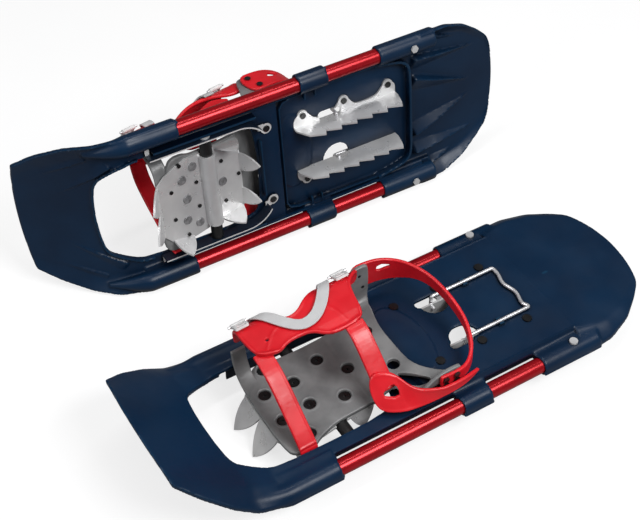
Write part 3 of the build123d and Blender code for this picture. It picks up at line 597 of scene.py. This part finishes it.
def harness_field(x, y, z):
    """The soft sheet over the toes, with lips where the webbing and the straps start."""
    along, gap = path_place(arch_path(0), y, z)
    top = arch_length(-14)
    outline = smooth_outline(
        [
            (50, 41), (50, 52), (51, 66), (51, 84), (48, top - 3), (42, top + 3), (27, top + 7),
            (17, top + 2), (6, top + 1), (-8, top + 3), (-18, top + 12), (-30, top + 16),
            (-52, top + 15), (-60, top + 8), (-63, 92), (-68, 76), (-80, 66), (-86, 58),
            (-85, 44), (-78, 40), (-66, 42), (-56, 48), (-45, 54), (-33, 61), (-20, 70),
            (-8, 79), (4, 80), (13, 70), (17, 58), (22, 49), (34, 44), (44, 41),
        ],
        2,
    )
    edge = polygon(outline, x, along)
    lip = 0.9 * bead(edge + 1.6, 1.3)
    _, front = path_place([(47, top - 2), (40, top + 2), (26, top + 6)], x, along)
    _, rear = path_place([(-24, top + 13), (-38, top + 14), (-56, top + 12)], x, along)
    lip = np.maximum(lip, 2.2 * bead(front, 2.0))
    lip = np.maximum(lip, 2.2 * bead(rear, 2.0))
    # folds that run from the strap junctions towards the hub
    folds = [
        [(38, top), (20, 84), (4, 88)],
        [(-42, top + 8), (-38, 92), (-24, 82)],
        [(-78, 56), (-64, 66), (-48, 74)],
    ]
    for fold in folds:
        _, off = path_place(smooth_outline(fold, 2, closed=False), x, along)
        lip = np.maximum(lip, 0.55 * bead(off, 1.5))
    sheet = np.abs(gap - 0.25 * lip) - STRAP / 2 - 0.5 * lip
    body = common(sheet, edge, 1.4)
    eye = np.hypot(x - 31, along - 93) - 1.8
    return cut(body, eye, 0.5)


def sheet_field(path, outline, a, b, width, folds=()):
    """A strap bent along a path in (a, b), with an outline over its length and the width."""
    along, gap = path_place(path, a, b)
    edge = polygon(outline, along, width)
    half = STRAP / 2 + 0.28 * bead(edge + 1.5, 0.9)
    for place in folds:
        half = half + 0.55 * bead(along - place, 0.9) - 0.35 * bead(along - place - 2.2, 0.8)
    return common(np.abs(gap) - half, edge, 1.2)


FRONT_PATH = smooth_outline(
    [(-20, 69.4), (-12, 68.6), (2, 64.6), (18, 52), (38, 33), (53, 18.5), (59, 11), (59.3, 4)],
    2,
    closed=False,
)
REAR_PATH = smooth_outline([(-2, 69.6), (8, 66.8), (20, 57.5), (36, 41), (51.6, 24.4)], 2, closed=False)
OUTER_PATH = smooth_outline(
    [
        (-30, 58), (-38, 63), (-50, 68.5), (-64, 73), (-80, 77), (-98, 79), (-114, 78.6), (-126, 76),
        (-135, 73),
    ],
    2,
    closed=False,
)
HEEL_PATH = smooth_outline(
    [
        (-80, -66.7), (-100, -66.7), (-114, -65), (-128, -58.5), (-140, -46), (-149, -26), (-152.4, 0),
        (-151, 26), (-145, 45), (-136, 60), (-124, 69.4), (-112, 72), (-100, 72), (-90, 72),
    ],
    2,
    closed=False,
)


def front_strap_field(x, y, z):
    length = path_length(FRONT_PATH)
    outline = [(1, 33.4), (length, 33), (length, 51), (1, 50.6)]
    return sheet_field(FRONT_PATH, outline, y, z, x, folds=(length - 11,))


def rear_strap_field(x, y, z):
    length = path_length(REAR_PATH)
    outline = [(1, -55.6), (length, -56), (length, -36), (1, -36.4)]
    return sheet_field(REAR_PATH, outline, y, z, x, folds=(length - 9,))


def inner_strap_field(x, y, z):
    outline = smooth_outline([(17, 11), (5, 16), (-60, 41), (-60, 46), (-47, 53), (-40, 53), (17, 27)], 1)
    edge = polygon(outline, x, z)
    half = STRAP / 2 + 0.28 * bead(edge + 1.5, 0.9)
    return common(np.abs(y + 58.7) - half, edge, 1.2)


def outer_strap_field(x, y, z):
    # the front lug leans in against the rear strap's end; the band behind it stands upright
    lean = 0.85 * np.clip((x + 92) / 36, 0, 1)
    upright = y + lean * (z - 15)
    length = path_length(OUTER_PATH)
    outline = smooth_outline(
        [
            (2, 17), (8, 13), (20, 11.6), (34, 11.4), (60, 12.4), (84, 13.2), (length - 1, 15.5),
            (length - 1, 18.5), (88, 23.5), (62, 25.2), (46, 27), (38, 31), (32, 38), (24, 42.5),
            (12, 43), (5, 38), (1, 28),
        ],
        2,
    )
    body = sheet_field(OUTER_PATH, outline, x, upright, z) / np.sqrt(1 + lean**2)
    window = smooth_outline([(9, 25), (24, 34), (28, 30), (26, 22)], 1)
    along, _ = path_place(OUTER_PATH, x, upright)
    return cut(body, polygon(window, along, z), 0.8)


def heel_strap_field(x, y, z):
    length = path_length(HEEL_PATH)
    outline = smooth_outline(
        [
            (2, 25), (22, 25), (40, 25), (56, 27), (72, 31), (88, 31.5), (104, 29), (130, 24.5), (160, 20),
            (188, 14.5), (204, 13.6), (length - 2, 14), (length - 2, 32), (222, 32.4), (206, 30), (190, 28),
            (160, 33), (130, 38.5), (100, 44), (70, 49), (48, 53), (26, 57), (2, 59),
        ],
        2,
    )
    window = smooth_outline([(30, 38), (33, 49), (50, 45)], 1)
    along, _ = path_place(HEEL_PATH, x, y)
    body = sheet_field(HEEL_PATH, outline, x, y, z)
    rivets = np.where(y < 0, disc(INNER_RIVETS, 1.7, x, z), disc(OUTER_RIVETS, 1.7, x, z))
    body = cut(body, rivets + 100 * (np.abs(y) < 60))
    return cut(body, polygon(window, along, z), 0.8)


def webbing_field(x, y, z):
    lift = 4.3
    along, gap = path_place(arch_path(lift), y, z)
    path = [(27, 48), (26.5, 58), (24, 66), (18, 76), (9, 89), (2, 97), (-6, 101)]
    path += [(-18, 99), (-30, 90), (-41, 77), (-47, 66), (-48.5, 58), (-48.5, 50)]
    scale = [(a, b * (1 + lift / (ARCH_RADIUS * 6))) for a, b in path]
    place, off = path_place(smooth_outline(scale, 2, closed=False), x, along)
    ends = np.maximum(0.5 - place, place - path_length(smooth_outline(scale, 2, closed=False)) + 0.5)
    selvedge = 0.18 * bead(np.abs(off) - 5.0, 0.5)
    ribs = 0.1 * np.sin(place * 2 * math.pi / 1.6)
    band = common(np.abs(gap) - 0.75 - selvedge - ribs, np.abs(off) - 5.7, 0.5)
    return common(band, ends, 0.4)


def path_length(points):
    steps = np.diff(np.array(points, float), axis=0)
    return float(np.hypot(steps[:, 0], steps[:, 1]).sum())


# ---------------------------------------------------------------- materials


def add_node(tree, kind, inputs=None, **settings):
    """A shader node with its settings and inputs; an input may be a value or another node's socket."""
    made = tree.nodes.new(kind)
    for key, value in settings.items():
        setattr(made, key, value)
    for key, value in (inputs or {}).items():
        if isinstance(value, bpy.types.NodeSocket):
            tree.links.new(value, made.inputs[key])
        else:
            made.inputs[key].default_value = value
    return made


def noise(tree, scale, detail=4.0, stretch=(1, 1, 1)):
    """Noise over the object, features about 1/scale metres wide, stretched along the axes."""
    place = add_node(tree, "ShaderNodeTexCoord").outputs["Object"]
    mapped = add_node(tree, "ShaderNodeMapping", {"Vector": place, "Scale": stretch})
    made = add_node(
        tree, "ShaderNodeTexNoise", {"Vector": mapped.outputs[0], "Scale": scale, "Detail": detail}
    )
    return made.outputs[0]


def ranged(tree, value, low, high, to_low=0.0, to_high=1.0):
    inputs = {"Value": value, "From Min": low, "From Max": high, "To Min": to_low, "To Max": to_high}
    return add_node(tree, "ShaderNodeMapRange", inputs).outputs[0]


def blended(tree, share, first, second):
    made = add_node(tree, "ShaderNodeMix", {"Factor": share}, data_type="RGBA")
    for socket, value in ((made.inputs[6], first), (made.inputs[7], second)):
        if isinstance(value, bpy.types.NodeSocket):
            tree.links.new(value, socket)
        else:
            socket.default_value = (*value, 1)
    return made.outputs[2]


def bumped(tree, layers):
    """A normal from several heights, each with its depth in metres."""
    normal = None
    for height, depth in layers:
        inputs = {"Height": height, "Distance": depth, "Strength": 1.0}
        if normal:
            inputs["Normal"] = normal
        normal = add_node(tree, "ShaderNodeBump", inputs).outputs[0]
    return normal


def edge_wear(tree, low=0.53, high=0.62):
    pointed = add_node(tree, "ShaderNodeNewGeometry").outputs["Pointiness"]
    return ranged(tree, pointed, low, high)


def finish(name, colour, layers, rough, **extra):
    """A principled material from its colour function, bump layers and roughness range.

    A layer is a noise (scale, detail, stretch) and its depth in metres; rough is the lowest and
    highest roughness and the scale of the noise between them."""
    material = bpy.data.materials.new(name)
    material.use_nodes = True
    tree = material.node_tree
    shader = tree.nodes["Principled BSDF"]
    tree.links.new(colour(tree), shader.inputs["Base Color"])
    heights = [(noise(tree, *texture), depth) for texture, depth in layers]
    if heights:
        tree.links.new(bumped(tree, heights), shader.inputs["Normal"])
    patches = ranged(tree, noise(tree, rough[2], 5.0), 0.35, 0.65, rough[0], rough[1])
    tree.links.new(patches, shader.inputs["Roughness"])
    for key, value in extra.items():
        shader.inputs[key.replace("_", " ")].default_value = value
    return material


def mottled(dark, light, scale, wear_and_painted_highlight=None, stretch=(1, 1, 1)):
    """Colour that drifts between two tones, lighter where edges are worn."""

    def colour(tree):
        share = ranged(tree, noise(tree, scale, 6.0, stretch), 0.35, 0.65)
        tone = blended(tree, share, dark, light)
        if wear_and_painted_highlight:
            tone = blended(tree, edge_wear(tree), tone, wear_and_painted_highlight)
        return tone

    return colour


def woven(tree):
    """Light webbing: two crossing rib patterns and a faint soil."""
    place = add_node(tree, "ShaderNodeTexCoord").outputs["Object"]
    waves = []
    for axis in ("X", "Y"):
        made = add_node(
            tree,
            "ShaderNodeTexWave",
            {"Vector": place, "Scale": 260.0, "Distortion": 0.6},
            bands_direction=axis,
        )
        waves.append(made.outputs[0])
    mesh = blended(tree, 0.5, waves[0], waves[1])
    tone = blended(tree, mesh, (0.42, 0.42, 0.43), (0.66, 0.66, 0.67))
    return blended(tree, ranged(tree, noise(tree, 60.0), 0.4, 0.7, 0, 0.35), tone, (0.38, 0.37, 0.37))


def navy_with_painted_shade(tree):
    """Navy plastic, mottled and paler on worn edges, with painted shade that turns it near black in its recesses.
    """
    tone = mottled((0.0004, 0.0115, 0.0360), (0.0012, 0.0190, 0.0540), 12.0, (0.003, 0.032, 0.074))(tree)
    # painted shade: ambient occlusion within 14 mm blends the colour towards near black in grooves, corners and
    # recesses
    occlusion_for_painted_shade = add_node(tree, "ShaderNodeAmbientOcclusion", {"Distance": 0.014}, samples=6).outputs["AO"]
    return blended(tree, ranged(tree, occlusion_for_painted_shade, 0.45, 0.92), (0.0004, 0.0035, 0.0110), tone)


MATERIALS = {
    "deck_plastic": finish(
        "deck_plastic",
        navy_with_painted_shade,
        [((900.0, 2.0), 0.00003), ((45.0, 3.0), 0.0003)],
        (0.32, 0.46, 30.0),
        Specular_IOR_Level=0.3,
    ),
    "red_tube": finish(
        "red_tube",
        mottled((0.34, 0.003, 0.008), (0.44, 0.005, 0.012), 30.0),
        [],
        (0.24, 0.30, 40.0),
        Metallic=0.5,
    ),
    "steel": finish(
        "steel",
        mottled((0.60, 0.60, 0.61), (0.76, 0.76, 0.76), 24.0),
        [((60.0, 2.0), 0.0001)],
        (0.26, 0.44, 90.0),
        Metallic=0.45,
    ),
    "wire": finish(
        "wire",
        mottled((0.66, 0.66, 0.68), (0.84, 0.84, 0.86), 60.0),
        [],
        (0.26, 0.34, 60.0),
        Metallic=0.65,
    ),
    "black_metal": finish(
        "black_metal",
        mottled((0.0030, 0.0032, 0.0036), (0.0080, 0.0082, 0.0090), 80.0),
        [],
        (0.24, 0.36, 90.0),
    ),
    "grey_metal": finish(
        "grey_metal",
        mottled((0.16, 0.16, 0.165), (0.34, 0.34, 0.35), 260.0),
        [((420.0, 4.0), 0.0004)],
        (0.38, 0.6, 200.0),
        Metallic=0.4,
    ),
    "black_plastic": finish(
        "black_plastic",
        mottled((0.0030, 0.0030, 0.0034), (0.0070, 0.0070, 0.0075), 50.0),
        [((900.0, 2.0), 0.00004)],
        (0.38, 0.5, 80.0),
    ),
    "grey_plastic": finish(
        "grey_plastic",
        mottled((0.125, 0.127, 0.130), (0.215, 0.218, 0.220), 34.0, (0.32, 0.32, 0.325)),
        [((750.0, 2.0), 0.00005), ((60.0, 5.0), 0.0006)],
        (0.3, 0.5, 45.0),
    ),
    "red_rubber": finish(
        "red_rubber",
        mottled((0.60, 0.0060, 0.0135), (0.74, 0.0110, 0.0210), 26.0, (0.80, 0.030, 0.040)),
        [((1100.0, 2.0), 0.00003), ((70.0, 3.0), 0.0004)],
        (0.30, 0.44, 50.0),
    ),
    "webbing": finish(
        "webbing",
        woven,
        [((1500.0, 3.0), 0.0001), ((420.0, 2.0, (1, 0.3, 1)), 0.0002)],
        (0.6, 0.85, 90.0),
        Sheen_Weight=0.2,
    ),
    "white_plastic": finish(
        "white_plastic",
        mottled((0.60, 0.60, 0.60), (0.76, 0.76, 0.76), 90.0),
        [],
        (0.25, 0.4, 120.0),
    ),
}


def rail_material(side):
    """Steel strip with painted shade on its walls, dark and mottled, and a painted highlight of bright bare steel
    on the faces turned to the shoe's underside: its lower rim and eyelets.
    """
    down = on_shoe([(0, 0, -1)], side, False)[0] - on_shoe([(0, 0, 0)], side, False)[0]

    def colour(tree):
        normal = add_node(tree, "ShaderNodeNewGeometry").outputs["Normal"]
        inputs = {0: normal, 1: tuple(1000 * down)}
        facing = add_node(tree, "ShaderNodeVectorMath", inputs, operation="DOT_PRODUCT").outputs["Value"]
        # painted highlight: faces turned towards the shoe's underside are painted bright bare steel
        wear_and_painted_highlight = ranged(tree, facing, 0.5, 0.8)
        # painted shade: the remaining faces, the walls, are painted a mottled near-black navy
        painted_shade = blended(tree, noise(tree, 120.0, 5.0), (0.004, 0.009, 0.020), (0.012, 0.022, 0.042))
        return blended(tree, wear_and_painted_highlight, painted_shade, (0.72, 0.72, 0.72))

    layers = [((700.0, 2.0), 0.00003)]
    return finish(f"{side}_rail_steel", colour, layers, (0.3, 0.45, 90.0), Metallic=0.25)


def dress_cad_nodes():
    """Gives every CAD node that stays in view the fuller version of its slot's material."""
    rails = {side: rail_material(side) for side in SIDES}
    for part in frame["record"]["subparts"]:
        material = MATERIALS[part["material_slot"]]
        # side rails: painted shade on their walls and a painted highlight on their lower rim and eyelets
        if part["node"].endswith("side_rail"):
            material = rails[part["node"].split("_")[0]]
        mesh = frame["nodes"][part["node"]].data
        for index in range(len(mesh.materials)):
            mesh.materials[index] = material


# ---------------------------------------------------------------- pieces

# name, field, lowest corner, highest corner, mesh step, body, slot
PIECES = [
    ("deck", deck_field, (-358, -96, -11.5), (183, 96, 77), 1.6, "frame", "deck_plastic"),
    ("binding_base", base_field, (-119, -66, 3), (62, 72, 62), 0.9, "binding", "grey_plastic"),
    ("toe_harness", harness_field, (-88, -64, 34), (58, 14, 78), 0.8, "binding", "red_rubber"),
    ("inner_strap", inner_strap_field, (-63, -62, 9), (20, -55, 56), 0.8, "binding", "red_rubber"),
    ("front_strap", front_strap_field, (32, -16, 2), (52, 63, 73), 0.7, "binding", "red_rubber"),
    ("rear_strap", rear_strap_field, (-57, -2, 21), (-35, 55, 72), 0.7, "binding", "red_rubber"),
    ("outer_strap", outer_strap_field, (-137, 26, 9), (-28, 83, 45), 0.7, "binding", "red_rubber"),
    ("heel_strap", heel_strap_field, (-156, -70, 12), (-78, 76, 62), 0.8, "binding", "red_rubber"),
    ("pull_webbing", webbing_field, (-56, -66, 46), (34, -4, 80), 0.6, "binding", "webbing"),
]


def build_tubes():
    """Both side tubes of each shoe."""
    for which, sign in (("outer", 1), ("inner", -1)):
        path = [(x, sign * TUBE_Y, 0) for x in (-262, -200, -100, 0, 75)]
        points, faces = swept_tube(path, TUBE_RADIUS, 64)
        for side in SIDES:
            node = f"{which}_tube"
            add_piece(node, side, points, faces, MATERIALS["red_tube"], "frame", [node])


def build_lifters():
    """The wire bail: hooked feet, two legs and a rear bar that waves between its corners."""
    top = LIFTER_TOP
    bar = [(LIFTER_REAR + 1.7 * (1 - math.cos(math.radians(15 * n))), 4 * n / 3 - 24, top) for n in range(37)]
    feet = LIFTER_FOOT
    inner = [(LIFTER_PIVOT_X, -23, feet), (LIFTER_PIVOT_X, -LIFTER_Y, feet), (LIFTER_PIVOT_X, -LIFTER_Y, top)]
    inner += [(LIFTER_REAR, -LIFTER_Y, top), bar[0]]
    outer = [bar[-1], (LIFTER_REAR, LIFTER_Y, top), (LIFTER_PIVOT_X, LIFTER_Y, top)]
    outer += [(LIFTER_PIVOT_X, LIFTER_Y, feet), (LIFTER_PIVOT_X, 23, feet)]
    path = rounded_path(inner, 2.6) + bar[1:-1] + rounded_path(outer, 2.6)
    points, faces = swept_tube(path, WIRE_RADIUS, 24)
    for side in SIDES:
        add_piece("heel_lifter", side, points, faces, MATERIALS["wire"], "lifter", ["heel_lifter"])


def build_pieces():
    for name, field, low, high, step, body, slot in PIECES:
        add_field(name, field, low, high, step, MATERIALS[slot], body, [name])


# ---------------------------------------------------------------- stage


def add_stage():
    """A plain pale floor just under the pair."""
    low = cad_box[0].z
    reach = 3.0
    mesh = bpy.data.meshes.new("floor")
    corners = [(-reach, -reach, low), (reach, -reach, low), (reach, reach, low), (-reach, reach, low)]
    mesh.from_pydata(corners, [], [(0, 1, 2, 3)])
    floor = bpy.data.objects.new("floor", mesh)
    bpy.context.scene.collection.objects.link(floor)
    material = bpy.data.materials.new("floor")
    material.use_nodes = True
    tree = material.node_tree
    shader = tree.nodes["Principled BSDF"]
    tone = blended(tree, noise(tree, 6.0, 3.0), (0.28, 0.28, 0.285), (0.32, 0.32, 0.32))
    tree.links.new(tone, shader.inputs["Base Color"])
    shader.inputs["Roughness"].default_value = 0.9
    # pale to the eye, but only dimly mirrored in the shoes
    shader.inputs["Emission Color"].default_value = (1, 1, 1, 1)
    seen = add_node(tree, "ShaderNodeLightPath").outputs["Is Camera Ray"]
    tree.links.new(ranged(tree, seen, 0, 1, 0, 0.74), shader.inputs["Emission Strength"])
    mesh.materials.append(material)


def add_light(name, place, aim, width, depth, power):
    light = bpy.data.lights.new(name, "AREA")
    light.shape = "RECTANGLE"
    light.size = width
    light.size_y = depth
    light.energy = power
    lamp = bpy.data.objects.new(name, light)
    lamp.location = place
    lamp.rotation_euler = (Vector(aim) - Vector(place)).to_track_quat("-Z", "Y").to_euler()
    bpy.context.scene.collection.objects.link(lamp)


def add_lights():
    aim = (-0.1, -0.12, 0.03)
    add_light("key", (-0.45, 0.95, 1.35), aim, 0.9, 0.6, 23)
    add_light("fill", (1.4, 0.1, 1.0), aim, 0.9, 0.9, 9)
    add_light("strip", (-0.1, -0.25, 1.6), aim, 1.6, 0.1, 7)
    world = bpy.data.worlds.new("studio")
    world.use_nodes = True
    sky = world.node_tree.nodes["Background"]
    sky.inputs["Color"].default_value = (1, 1, 1, 1)
    sky.inputs["Strength"].default_value = 0.14
    bpy.context.scene.world = world


def add_camera():
    """The camera, placed against the left shoe's pivot."""
    heading = math.radians(-121.44)
    fall = math.radians(46.0)
    look = Vector(
        (math.cos(fall) * math.cos(heading), math.cos(fall) * math.sin(heading), -math.sin(fall))
    )
    across = look.cross(Vector((0, 0, 1))).normalized()
    down = look.cross(across)
    pivot = Vector(JOINTS["left_binding_pitch"]["pos_m"])
    lens = bpy.data.cameras.new("camera")
    lens.sensor_width = 36
    lens.lens = 73.46
    camera = bpy.data.objects.new("camera", lens)
    camera.location = pivot + 0.004 * across - 0.1236 * down - 1.2295 * look
    camera.rotation_euler = look.to_track_quat("-Z", "Y").to_euler()
    bpy.context.scene.collection.objects.link(camera)
    bpy.context.scene.camera = camera


dress_cad_nodes()
build_tubes()
build_lifters()
build_pieces()
add_stage()
add_lights()
add_camera()
bpy.context.scene.view_settings.view_transform = "Standard"
